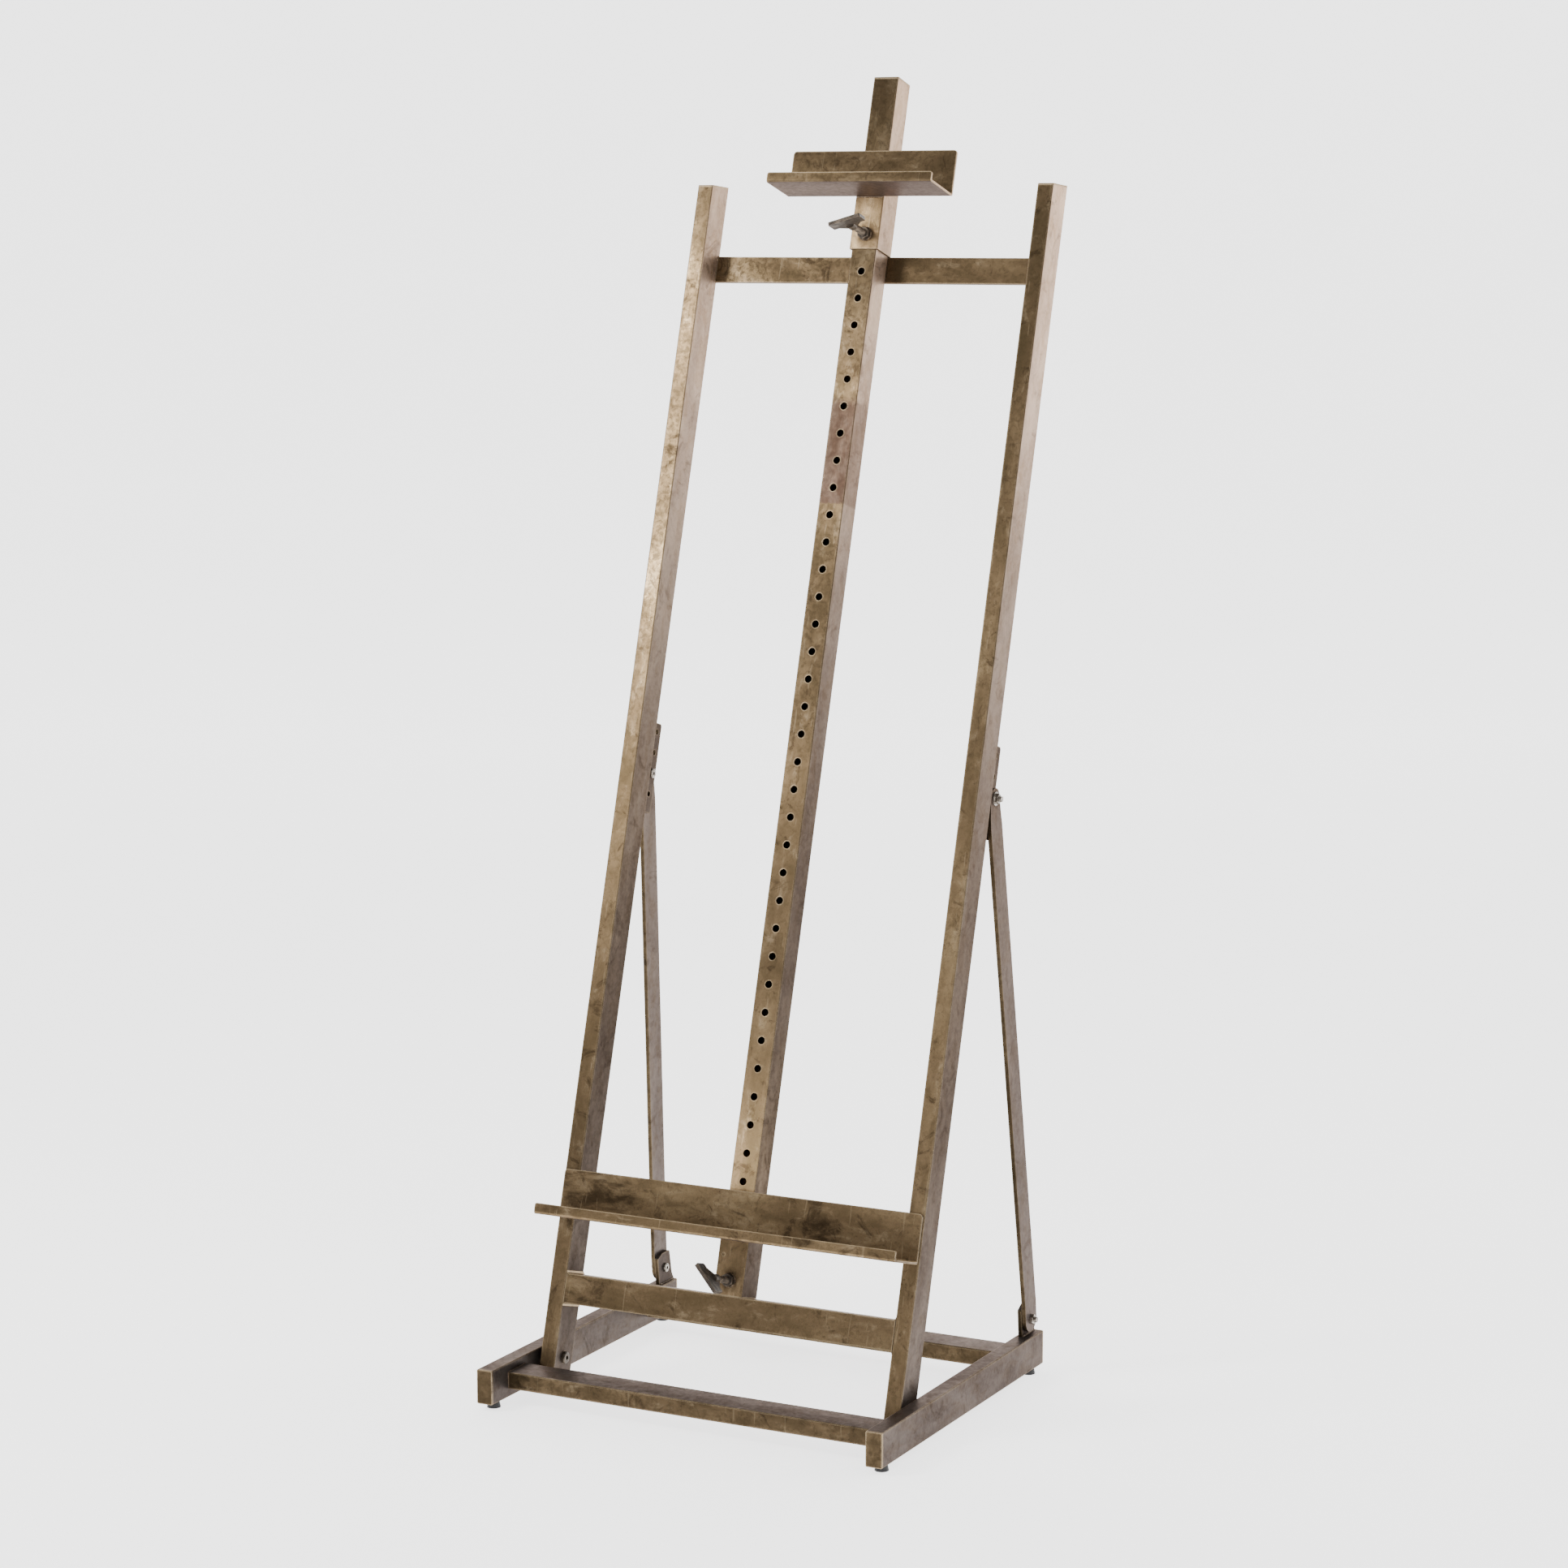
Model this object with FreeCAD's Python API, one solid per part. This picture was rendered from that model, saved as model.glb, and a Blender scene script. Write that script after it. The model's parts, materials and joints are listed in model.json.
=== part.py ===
import FreeCAD, Part
import math
import os

from FreeCAD import Vector

# Studio easel: a rectangular base of flat tube, a leaning H-frame hinged low on the base rails,
# a centre mast with a row of holes, a canvas tray and a top ledge that slide on the mast, and two
# back struts bolted to one of four holes in each tilt plate.
#
# Row frame: +X to the viewer's right, +Y to the back, +Z up, floor at Z = 0.
# Frame coordinates for the leaning parts: X as above, D behind the uprights' front faces, and S up
# along the frame, with S = 0 where the front faces cross the level of the rails' undersides.

# ---- base ----
overall_width = 637.0
rail_length = 544.0
rail_width = 25.0
rail_height = 50.0
tube_wall = 1.5
tube_corner = 2.0
end_plate = 2.0
plate_edge = 0.7
crossbar_depth = 50.0
crossbar_height = 25.0
crossbar_inset = 44.0
foot_height = 10.0
foot_radius = 10.0
foot_neck_radius = 8.0
foot_inset = 25.0
foot_stem_radius = 3.0
foot_stem_length = 12.0
foot_insert_wall = 3.0
insert_length = 10.0

# ---- leaning frame ----
lean_angle = 16.3
frame_setback = 111.5
frame_gap = 6.0
upright_width = 25.0
upright_depth = 50.0
upright_start = 12.0
upright_length = 1771.5
upright_top_rise = 10.5
lower_bar_start = 121.8
lower_bar_height = 43.0
lower_bar_web = 4.0
upper_bar_drop = 136.5
upper_bar_height = 39.0
upper_bar_thickness = 6.0
mast_width = 40.0
mast_above_uprights = 162.3
mast_hole_radius = 5.5
mast_hole_pitch = 40.2
mast_first_hole = 41.5

# ---- frame pivots ----
pivot_below_rail_top = 14.6
pivot_bolt_radius = 5.0
pivot_head_rim = 3.5
pivot_head_height = 5.0
pivot_insert_wall = 1.0
bush_wall = 2.5
socket_share = 1.2
socket_sink = 0.6
head_crown = 0.45
nut_crown = 0.97

# ---- tilt plates, lugs and struts ----
tilt_plate_thickness = 6.0
tilt_plate_depth = 31.0
tilt_plate_start = 847.0
tilt_plate_corner = 4.0
tilt_hole_setback = 19.5
tilt_hole_pitch = 31.0
tilt_hole_count = 4
tilt_hole_first = 28.0
tilt_hole_used = 1
tilt_plate_above_hole = 13.0
lug_thickness = 6.0
lug_inset = 5.5
lug_above_bolt = 24.0
lug_foot_length = 45.5
lug_corner = 3.0
lug_rear_inset = 1.0
lug_shoulder = 0.85
lug_lean = 0.09
lug_top_front = 0.2
lug_top_rear = 0.3
lug_toe = 0.15
lug_toe_height = 0.25
lug_bolt_from_end = 28.5
strut_width = 38.0
strut_above_rail = 4.5
strut_thickness = 6.0
strut_top_radius = 15.0
strut_taper = 40.0
strut_flat = 24.0
strut_bolt_radius = 4.0
strut_head_rim = 3.0
strut_head_height = 4.0
strut_nut_flats = 13.0
strut_nut_height = 5.0
strut_thread_end = 4.0
washer_radius = 10.0
washer_thickness = 1.6

# ---- tray and top ledge ----
sheet = 3.0
bend_radius = 4.0
tray_inset = 2.0
tray_gap = 1.0
tray_back_height = 69.5
tray_depth = 76.6
tray_lip_height = 15.5
tray_above_sleeve_end = 78.8
ledge_width = 264.0
ledge_back_height = 68.5
ledge_depth = 76.6
ledge_lip_height = 14.5
ledge_above_sleeve_end = 77.4
sheet_corner = 5.0
lip_corner = 3.0
sleeve_wall = 2.5
sleeve_length = 139.0
sleeve_corner = 2.5
dimple_radius = 2.5
dimple_depth = 1.2
dimple_side = 14.0
dimple_above_clamp = 35.0

# ---- clamp screws ----
clamp_above_sleeve_end = 22.0
clamp_stud_radius = 5.0
clamp_nut_flats = 17.0
clamp_nut_height = 8.5
clamp_stud_showing = 44.0
clamp_tip_radius = 3.5
clamp_bar_length = 50.0
clamp_bar_depth = 22.0
clamp_bar_thickness = 5.0
clamp_bar_corner = 2.0
clamp_hub_wall = 2.0
clamp_hub_length = 11.0
clamp_hub_grip = 8.0
clamp_fan_half = 17.0
tray_clamp_turn = -45.0
ledge_clamp_turn = 17.0

# ---- clearances ----
pin_clearance = 0.08
body_gap = 0.3
mast_clearance = 0.5

# ---- allowances for tools and searches ----
through = 1.0
close = 1e-4

# ---- derived places ----
half_width = overall_width / 2
rail_inner = half_width - rail_width
rail_centre = half_width - rail_width / 2
rail_top = foot_height + rail_height
half_frame = rail_inner - frame_gap
upright_inner = half_frame - upright_width
upright_centre = half_frame - upright_width / 2
upright_end = upright_start + upright_length
lower_bar_top = lower_bar_start + lower_bar_height
upper_bar_start = upright_end - upper_bar_drop
upper_bar_top = upper_bar_start + upper_bar_height
upper_bar_front = upright_depth - upper_bar_thickness
mast_front = sleeve_wall + mast_clearance - tray_gap
mast_depth = upper_bar_front - mast_front
mast_top = upright_end + mast_above_uprights
mast_hole_start = lower_bar_top + mast_first_hole
mast_hole_count = math.floor((upper_bar_top - mast_hole_start) / mast_hole_pitch) + 1
tray_width = 2 * (half_frame - tray_inset)
sleeve_front = mast_front - mast_clearance - sleeve_wall
sleeve_back = mast_front + mast_depth + mast_clearance + sleeve_wall
half_sleeve = mast_width / 2 + mast_clearance + sleeve_wall
tray_sleeve_start = lower_bar_top + body_gap
ledge_sleeve_start = upper_bar_top + body_gap
lean_sine = math.sin(math.radians(lean_angle))
lean_cosine = math.cos(math.radians(lean_angle))
pivot_depth = upright_depth / 2
pivot_along_frame = (rail_height - pivot_below_rail_top + pivot_depth * lean_sine) / lean_cosine
pivot_head_radius = pivot_bolt_radius + pivot_head_rim
pivot_insert_radius = pivot_bolt_radius + pivot_insert_wall
foot_insert_radius = foot_stem_radius + foot_insert_wall
lug_bolt_height = strut_width / 2 + strut_above_rail
lug_height = lug_bolt_height + lug_above_bolt
strut_head_radius = strut_bolt_radius + strut_head_rim
clamp_hub_radius = clamp_stud_radius + clamp_hub_wall
mast_top_back = frame_setback + mast_top * lean_sine + (mast_front + mast_depth) * lean_cosine
origin_y = max(mast_top_back, rail_length) / 2

X_AXIS = Vector(1, 0, 0)
Y_AXIS = Vector(0, 1, 0)
Z_AXIS = Vector(0, 0, 1)
ORIGIN = Vector(0, 0, 0)


def frame_point(d, s):
    """Row Y and Z of a frame point."""
    y = frame_setback - origin_y + s * lean_sine + d * lean_cosine
    z = foot_height + s * lean_cosine - d * lean_sine
    return y, z


def lean(shape):
    """Carry a shape built in frame coordinates into the row frame."""
    shape = shape.copy()
    shape.rotate(ORIGIN, X_AXIS, -lean_angle)
    shape.translate(Vector(0, frame_setback - origin_y, foot_height))
    return shape


def moved(shape, x, y, z):
    shape = shape.copy()
    shape.translate(Vector(x, y, z))
    return shape


def mirrored(shape):
    return shape.mirror(ORIGIN, X_AXIS)


def both_sides(shape):
    return Part.makeCompound([mirrored(shape), shape])


def edges_along(shape, axis):
    chosen = []
    for edge in shape.Edges:
        if abs(edge.tangentAt(edge.FirstParameter).dot(axis)) > 0.999:
            chosen.append(edge)
    return chosen


def box(low, high):
    size = high.sub(low)
    return Part.makeBox(size.x, size.y, size.z, low)


def bar(low, high, along, radius):
    solid = box(low, high)
    return solid.makeFillet(radius, edges_along(solid, along))


def hollow_bar(low, high, along, radius, wall):
    inset = Vector(wall, wall, wall).sub(along * wall)
    return bar(low, high, along, radius).cut(box(low.add(inset), high.sub(inset)))


def rod(radius, start, end):
    path = end.sub(start)
    return Part.makeCylinder(radius, path.Length, start, path)


def prism(points, path):
    return Part.Face(Part.makePolygon(points + [points[0]])).extrude(path)


def hexagon(flats, start, along, height):
    """Six-sided prism along an axis that lies across Z, two of its corners on the Z line."""
    radius = flats / math.sqrt(3)
    side = Z_AXIS
    other = along.cross(side)
    points = []
    for corner in range(6):
        turn = math.radians(60 * corner)
        points.append(start.add(side * (radius * math.cos(turn))).add(other * (radius * math.sin(turn))))
    return prism(points, along * height)


def round_rim(shape, at, along, radius):
    """Round the circular edge that lies in the plane through a point, across an axis."""
    rims = []
    for edge in shape.Edges:
        inside_plane = abs(edge.CenterOfMass.sub(at).dot(along)) < close
        if inside_plane and edge.Length > 2 * math.pi * radius and edge.isClosed():
            rims.append(edge)
    return shape.makeFillet(radius, rims)


def button_head(radius, height, face, along, socket_flats):
    """Low round head standing off a face, with a hex socket in its top."""
    top = face.add(along * height)
    head = round_rim(rod(radius, face, top), top, along, height * head_crown)
    return head.cut(hexagon(socket_flats, top, along * -1, height * socket_sink))


def hex_nut(flats, height, face, along, bore):
    nut = hexagon(flats, face, along, height)
    far = face.add(along * height)
    crown = Part.makeCone(flats / 2 + height, flats / 2 * nut_crown, height, face, along)
    return nut.common(crown).cut(rod(bore, face.sub(along), far.add(along)))


# ---- base ----
def base_rail():
    low = Vector(rail_inner, end_plate - origin_y, foot_height)
    high = Vector(half_width, rail_length - end_plate - origin_y, rail_top)
    rail = hollow_bar(low, high, Y_AXIS, tube_corner, tube_wall)
    pivot_y, pivot_z = frame_point(pivot_depth, pivot_along_frame)
    wall_hole_start = Vector(rail_inner - through, pivot_y, pivot_z)
    wall_hole_end = Vector(rail_inner + tube_wall + through, pivot_y, pivot_z)
    rail = rail.cut(rod(pivot_insert_radius, wall_hole_start, wall_hole_end))
    for y in foot_rows():
        hole_start = Vector(rail_centre, y, foot_height - through)
        hole_end = Vector(rail_centre, y, foot_height + tube_wall + through)
        rail = rail.cut(rod(foot_insert_radius, hole_start, hole_end))
    return rail


def foot_rows():
    return foot_inset - origin_y, rail_length - foot_inset - origin_y


def rail_end_caps():
    caps = []
    for start, outside in ((0.0, 0.0), (rail_length - end_plate, rail_length)):
        low = Vector(rail_inner, start - origin_y, foot_height)
        high = Vector(half_width, start + end_plate - origin_y, rail_top)
        cap = bar(low, high, Y_AXIS, tube_corner)
        rim = [edge for edge in cap.Edges if abs(edge.BoundBox.YMin + origin_y - outside) < close
               and edge.BoundBox.YLength < close]
        caps.append(cap.makeFillet(plate_edge, rim))
    return both_sides(Part.makeCompound(caps))


def base_crossbar(start):
    z = foot_height + (rail_height - crossbar_height) / 2
    low = Vector(-rail_inner, start - origin_y, z)
    high = Vector(rail_inner, start + crossbar_depth - origin_y, z + crossbar_height)
    return hollow_bar(low, high, X_AXIS, tube_corner, tube_wall)


def foot(side, y):
    pad = Part.makeCone(foot_radius, foot_neck_radius, foot_height, Vector(side * rail_centre, y, 0))
    stem_end = Vector(side * rail_centre, y, foot_height + foot_stem_length)
    return pad.fuse(rod(foot_stem_radius, Vector(side * rail_centre, y, foot_height / 2), stem_end))


def foot_inserts():
    inserts = []
    for y in foot_rows():
        start = Vector(rail_centre, y, foot_height)
        end = Vector(rail_centre, y, foot_height + insert_length)
        bore = rod(foot_stem_radius + pin_clearance, start, end)
        inserts.append(rod(foot_insert_radius, start, end).cut(bore))
    return both_sides(Part.makeCompound(inserts))


def pivot_bolt():
    y, z = frame_point(pivot_depth, pivot_along_frame)
    face = Vector(upright_inner - body_gap, y, z)
    shank_end = Vector(rail_inner + tube_wall + insert_length, y, z)
    head = button_head(pivot_head_radius, pivot_head_height, face, X_AXIS * -1, pivot_bolt_radius * socket_share)
    return head.fuse(rod(pivot_bolt_radius, face, shank_end))


def pivot_spacer():
    y, z = frame_point(pivot_depth, pivot_along_frame)
    start = Vector(half_frame + body_gap, y, z)
    end = Vector(rail_inner, y, z)
    return rod(pivot_head_radius, start, end).cut(rod(pivot_bolt_radius + pin_clearance, start, end))


def pivot_insert():
    y, z = frame_point(pivot_depth, pivot_along_frame)
    start = Vector(rail_inner, y, z)
    end = Vector(rail_inner + insert_length, y, z)
    return rod(pivot_insert_radius, start, end).cut(rod(pivot_bolt_radius, start, end))


def lug_bolt_place():
    return rail_length - lug_bolt_from_end - origin_y, rail_top + lug_bolt_height


def lug_face():
    return rail_inner + lug_inset


def strut_lug():
    """Upright ear on the rail: front edge leaning forward, cut top corner, spread rear foot."""
    rear = rail_length - lug_rear_inset - origin_y
    front = rear - lug_foot_length
    x = lug_face()
    outline = [
        Vector(x, front, rail_top),
        Vector(x, front - lug_height * lug_lean, rail_top + lug_height * lug_shoulder),
        Vector(x, front + lug_foot_length * lug_top_front, rail_top + lug_height),
        Vector(x, rear - lug_foot_length * lug_top_rear, rail_top + lug_height),
        Vector(x, rear - lug_foot_length * lug_toe, rail_top + lug_height * lug_toe_height),
        Vector(x, rear, rail_top),
    ]
    lug = prism(outline, X_AXIS * lug_thickness)
    upper = [edge for edge in edges_along(lug, X_AXIS) if edge.BoundBox.ZMin > rail_top + close]
    lug = lug.makeFillet(lug_corner, upper)
    y, z = lug_bolt_place()
    hole_start = Vector(x - through, y, z)
    hole_end = Vector(x + lug_thickness + through, y, z)
    return lug.cut(rod(strut_bolt_radius + pin_clearance, hole_start, hole_end))


def strut_base_faces():
    inner = lug_face() + lug_thickness + body_gap
    return inner, inner + strut_thickness


def strut_base_bolt():
    y, z = lug_bolt_place()
    face = Vector(lug_face(), y, z)
    nut_face = strut_base_faces()[1] + body_gap
    end = Vector(nut_face + strut_nut_height + strut_thread_end, y, z)
    head = button_head(strut_head_radius, strut_head_height, face, X_AXIS * -1, strut_bolt_radius * socket_share)
    return head.fuse(rod(strut_bolt_radius, face, end))


def strut_base_nut():
    y, z = lug_bolt_place()
    face = Vector(strut_base_faces()[1] + body_gap, y, z)
    return hex_nut(strut_nut_flats, strut_nut_height, face, X_AXIS, strut_bolt_radius)


# ---- leaning frame, in frame coordinates ----
def mitre_block(start):
    """Everything above the sloping cut across an upright's top."""
    x = upright_inner - through
    reach = upright_depth
    slope = upright_top_rise / upright_depth
    points = [
        Vector(x, -reach, start - slope * reach),
        Vector(x, upright_depth + reach, start + slope * (upright_depth + reach)),
        Vector(x, upright_depth + reach, start + upright_length),
        Vector(x, -reach, start + upright_length),
    ]
    return prism(points, X_AXIS * (upright_width + 2 * through))


def upright():
    low = Vector(upright_inner, 0, upright_start + end_plate)
    high = Vector(half_frame, upright_depth, upright_end + upright_top_rise)
    tube = hollow_bar(low, high, Z_AXIS, tube_corner, tube_wall)
    tube = tube.cut(mitre_block(upright_end - end_plate))
    bore = pivot_bolt_radius + pin_clearance + bush_wall
    start = Vector(upright_inner - through, pivot_depth, pivot_along_frame)
    end = Vector(half_frame + through, pivot_depth, pivot_along_frame)
    return tube.cut(rod(bore, start, end))


def upright_top_cap():
    low = Vector(upright_inner, 0, upright_end - upright_depth)
    high = Vector(half_frame, upright_depth, upright_end + upright_top_rise)
    block = bar(low, high, Z_AXIS, tube_corner)
    return block.common(mitre_block(upright_end - end_plate)).cut(mitre_block(upright_end))


def upright_end_plug():
    low = Vector(upright_inner, 0, upright_start)
    high = Vector(half_frame, upright_depth, upright_start + end_plate)
    return bar(low, high, Z_AXIS, tube_corner)


def pivot_bush():
    start = Vector(upright_inner, pivot_depth, pivot_along_frame)
    end = Vector(half_frame, pivot_depth, pivot_along_frame)
    bore = pivot_bolt_radius + pin_clearance
    return rod(bore + bush_wall, start, end).cut(rod(bore, start, end))


def corner_web(x, s, side, up):
    """Small concave weld web between the lower bar and an upright."""
    web = lower_bar_web
    low_x = x - web if side > 0 else x
    low_s = s if up > 0 else s - web
    block = Part.makeBox(web, upright_depth, web, Vector(low_x, 0, low_s))
    centre_x = x - web * side
    centre_s = s + web * up
    hollow_start = Vector(centre_x, -through, centre_s)
    hollow_end = Vector(centre_x, upright_depth + through, centre_s)
    return block.cut(rod(web, hollow_start, hollow_end))


def lower_crossbar():
    low = Vector(-upright_inner, 0, lower_bar_start)
    high = Vector(upright_inner, upright_depth, lower_bar_top)
    inset = Vector(0, tube_wall, tube_wall)
    solid = box(low, high)
    for side in (-1, 1):
        for s, up in ((lower_bar_start, -1), (lower_bar_top, 1)):
            solid = solid.fuse(corner_web(side * upright_inner, s, side, up))
    return solid.removeSplitter().cut(box(low.add(inset), high.sub(inset)))


def upper_crossbar():
    low = Vector(-upright_inner, upper_bar_front, upper_bar_start)
    high = Vector(upright_inner, upright_depth, upper_bar_top)
    return bar(low, high, X_AXIS, plate_edge)


def mast():
    low = Vector(-mast_width / 2, mast_front, lower_bar_top)
    high = Vector(mast_width / 2, mast_front + mast_depth, mast_top - end_plate)
    tube = hollow_bar(low, high, Z_AXIS, tube_corner, tube_wall)
    drills = []
    for index in range(mast_hole_count):
        s = mast_hole_start + index * mast_hole_pitch
        hole_start = Vector(0, mast_front - through, s)
        hole_end = Vector(0, mast_front + tube_wall + through, s)
        drills.append(rod(mast_hole_radius, hole_start, hole_end))
    return tube.cut(Part.makeCompound(drills))


def mast_cap():
    low = Vector(-mast_width / 2, mast_front, mast_top - end_plate)
    high = Vector(mast_width / 2, mast_front + mast_depth, mast_top)
    cap = bar(low, high, Z_AXIS, tube_corner)
    rim = [edge for edge in cap.Edges if edge.BoundBox.ZMin > mast_top - close]
    return cap.makeFillet(plate_edge, rim)


def tilt_hole(index):
    return upright_depth + tilt_hole_setback, tilt_plate_start + tilt_hole_first + index * tilt_hole_pitch


def tilt_plate():
    x = upright_centre - tilt_plate_thickness / 2
    top = tilt_hole(tilt_hole_count - 1)[1] + tilt_plate_above_hole
    low = Vector(x, upright_depth, tilt_plate_start)
    high = Vector(x + tilt_plate_thickness, upright_depth + tilt_plate_depth, top)
    plate = box(low, high)
    rear = [edge for edge in edges_along(plate, X_AXIS) if edge.BoundBox.YMin > upright_depth + close]
    plate = plate.makeFillet(tilt_plate_corner, rear)
    for index in range(tilt_hole_count):
        d, s = tilt_hole(index)
        hole_start = Vector(x - through, d, s)
        hole_end = Vector(high.x + through, d, s)
        plate = plate.cut(rod(strut_bolt_radius + pin_clearance, hole_start, hole_end))
    return plate


# ---- struts, in the row frame ----
def strut_top_place():
    d, s = tilt_hole(tilt_hole_used)
    return frame_point(d, s)


def strut_top_faces():
    inner = upright_centre + tilt_plate_thickness / 2 + body_gap
    return inner, inner + strut_thickness


def strut():
    """Flat bar from lug to tilt plate, set over slightly between its two parallel ends."""
    base_y, base_z = lug_bolt_place()
    top_y, top_z = strut_top_place()
    length = math.hypot(top_y - base_y, top_z - base_z)
    base_in, base_out = strut_base_faces()
    top_in, top_out = strut_top_faces()
    half = strut_width / 2
    reach = length + strut_top_radius
    side = [
        Vector(base_in, -half, -half),
        Vector(base_in, -half, strut_flat),
        Vector(top_in, -half, length - strut_flat),
        Vector(top_in, -half, reach),
        Vector(top_out, -half, reach),
        Vector(top_out, -half, length - strut_flat),
        Vector(base_out, -half, strut_flat),
        Vector(base_out, -half, -half),
    ]
    blank = prism(side, Y_AXIS * strut_width)
    x = top_in - strut_width
    span = X_AXIS * (base_out - x + strut_width)
    face = [
        Vector(x, -half, 0),
        Vector(x, -half, length - strut_taper),
        Vector(x, -strut_top_radius, length),
        Vector(x, strut_top_radius, length),
        Vector(x, half, length - strut_taper),
        Vector(x, half, 0),
    ]
    outline = prism(face, span)
    outline = outline.fuse(rod(half, Vector(x, 0, 0), Vector(x, 0, 0).add(span)))
    outline = outline.fuse(rod(strut_top_radius, Vector(x, 0, length), Vector(x, 0, length).add(span)))
    bar_solid = blank.common(outline)
    for height in (0.0, length):
        start = Vector(x, 0, height)
        bar_solid = bar_solid.cut(rod(strut_bolt_radius + pin_clearance, start, start.add(span)))
    forward = math.degrees(math.atan2(base_y - top_y, top_z - base_z))
    bar_solid.rotate(ORIGIN, X_AXIS, forward)
    return moved(bar_solid, 0, base_y, base_z)


def strut_top_bolt():
    """Head inside the tilt plate; the joint is open across the plate itself."""
    y, z = strut_top_place()
    face = Vector(upright_centre - tilt_plate_thickness / 2 - body_gap, y, z)
    return button_head(strut_head_radius, strut_head_height, face, X_AXIS * -1, strut_bolt_radius * socket_share)


def strut_top_washer():
    y, z = strut_top_place()
    start = Vector(strut_top_faces()[1], y, z)
    end = start.add(X_AXIS * washer_thickness)
    return rod(washer_radius, start, end).cut(rod(strut_bolt_radius, start, end))


def strut_top_nut():
    y, z = strut_top_place()
    inner, outer = strut_top_faces()
    face = Vector(outer + washer_thickness, y, z)
    nut = hex_nut(strut_nut_flats, strut_nut_height, face, X_AXIS, strut_bolt_radius)
    end = face.add(X_AXIS * (strut_nut_height + strut_thread_end))
    return nut.fuse(rod(strut_bolt_radius, Vector(inner, y, z), end))


# ---- tray and top ledge, in frame coordinates ----
def bent_ledge(width, start, back_height, depth, lip_height):
    """Bent sheet: flat back plate, level bottom and a short front lip."""
    back = sleeve_front
    front = back - depth
    outline = [
        Vector(-width / 2, back, start),
        Vector(-width / 2, back, start + back_height),
        Vector(-width / 2, back - sheet, start + back_height),
        Vector(-width / 2, back - sheet, start + sheet),
        Vector(-width / 2, front + sheet, start + sheet),
        Vector(-width / 2, front + sheet, start + lip_height),
        Vector(-width / 2, front, start + lip_height),
        Vector(-width / 2, front, start),
    ]
    solid = prism(outline, X_AXIS * width)
    outer_bends = [edge for edge in edges_along(solid, X_AXIS) if abs(edge.BoundBox.ZMin - start) < close]
    solid = solid.makeFillet(bend_radius, outer_bends)
    inner_bends = [edge for edge in edges_along(solid, X_AXIS)
                   if abs(edge.BoundBox.ZMin - start - sheet) < close and edge.BoundBox.YMin > front + close
                   and edge.BoundBox.YMax < back - close]
    solid = solid.makeFillet(bend_radius - sheet, inner_bends)
    solid = solid.makeFillet(sheet_corner, edges_through(solid, start + back_height))
    return solid.makeFillet(lip_corner, edges_through(solid, start + lip_height))


def edges_through(shape, level):
    """Edges that run through the sheet from front to back at a level."""
    return [edge for edge in edges_along(shape, Y_AXIS) if abs(edge.BoundBox.ZMin - level) < close]


def sleeve(start, with_dimple):
    low = Vector(-half_sleeve, sleeve_front, start)
    high = Vector(half_sleeve, sleeve_back, start + sleeve_length)
    tube = hollow_bar(low, high, Z_AXIS, sleeve_corner, sleeve_wall)
    clamp = start + clamp_above_sleeve_end
    bore_start = Vector(0, sleeve_front - through, clamp)
    bore_end = Vector(0, sleeve_front + sleeve_wall + through, clamp)
    tube = tube.cut(rod(clamp_stud_radius + pin_clearance, bore_start, bore_end))
    if with_dimple:
        mark = Vector(-dimple_side, sleeve_front, clamp + dimple_above_clamp)
        tube = tube.cut(rod(dimple_radius, mark.sub(Y_AXIS), mark.add(Y_AXIS * dimple_depth)))
    return tube


# ---- clamp screws, in frame coordinates ----
def clamp_nut(start):
    face = Vector(0, sleeve_front, start + clamp_above_sleeve_end)
    bore = clamp_stud_radius + pin_clearance
    return hex_nut(clamp_nut_flats, clamp_nut_height, face, Y_AXIS * -1, bore)


def clamp_bar_back():
    return sleeve_front - clamp_nut_height - clamp_stud_showing


def clamp_stud(start):
    s = start + clamp_above_sleeve_end
    tip = mast_front - body_gap
    shoulder = sleeve_front + sleeve_wall / 2
    end = clamp_bar_back() + clamp_hub_length - clamp_hub_grip
    shaft = rod(clamp_stud_radius, Vector(0, shoulder, s), Vector(0, end, s))
    return shaft.fuse(rod(clamp_tip_radius, Vector(0, shoulder, s), Vector(0, tip, s)))


def clamp_bar(start, turn):
    """Flat cross handle set edge-on to the stud, with a fan and a round hub."""
    back = clamp_bar_back()
    half = clamp_bar_length / 2
    thick = clamp_bar_thickness / 2
    low = Vector(-half, back - clamp_bar_depth, -thick)
    high = Vector(half, back, thick)
    handle = bar(low, high, Z_AXIS, clamp_bar_corner)
    hub_end = back + clamp_hub_length
    fan = [
        Vector(-clamp_fan_half, back, -thick),
        Vector(clamp_fan_half, back, -thick),
        Vector(clamp_hub_radius, hub_end, -thick),
        Vector(-clamp_hub_radius, hub_end, -thick),
    ]
    handle = handle.fuse(prism(fan, Z_AXIS * clamp_bar_thickness))
    handle = handle.fuse(rod(clamp_hub_radius, Vector(0, back, 0), Vector(0, hub_end, 0)))
    grip_end = hub_end - clamp_hub_grip - body_gap
    bore = rod(clamp_stud_radius + pin_clearance, Vector(0, hub_end + through, 0), Vector(0, grip_end, 0))
    handle = handle.cut(bore)
    handle.rotate(ORIGIN, Y_AXIS, -turn)
    return moved(handle, 0, 0, start + clamp_above_sleeve_end)


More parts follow.
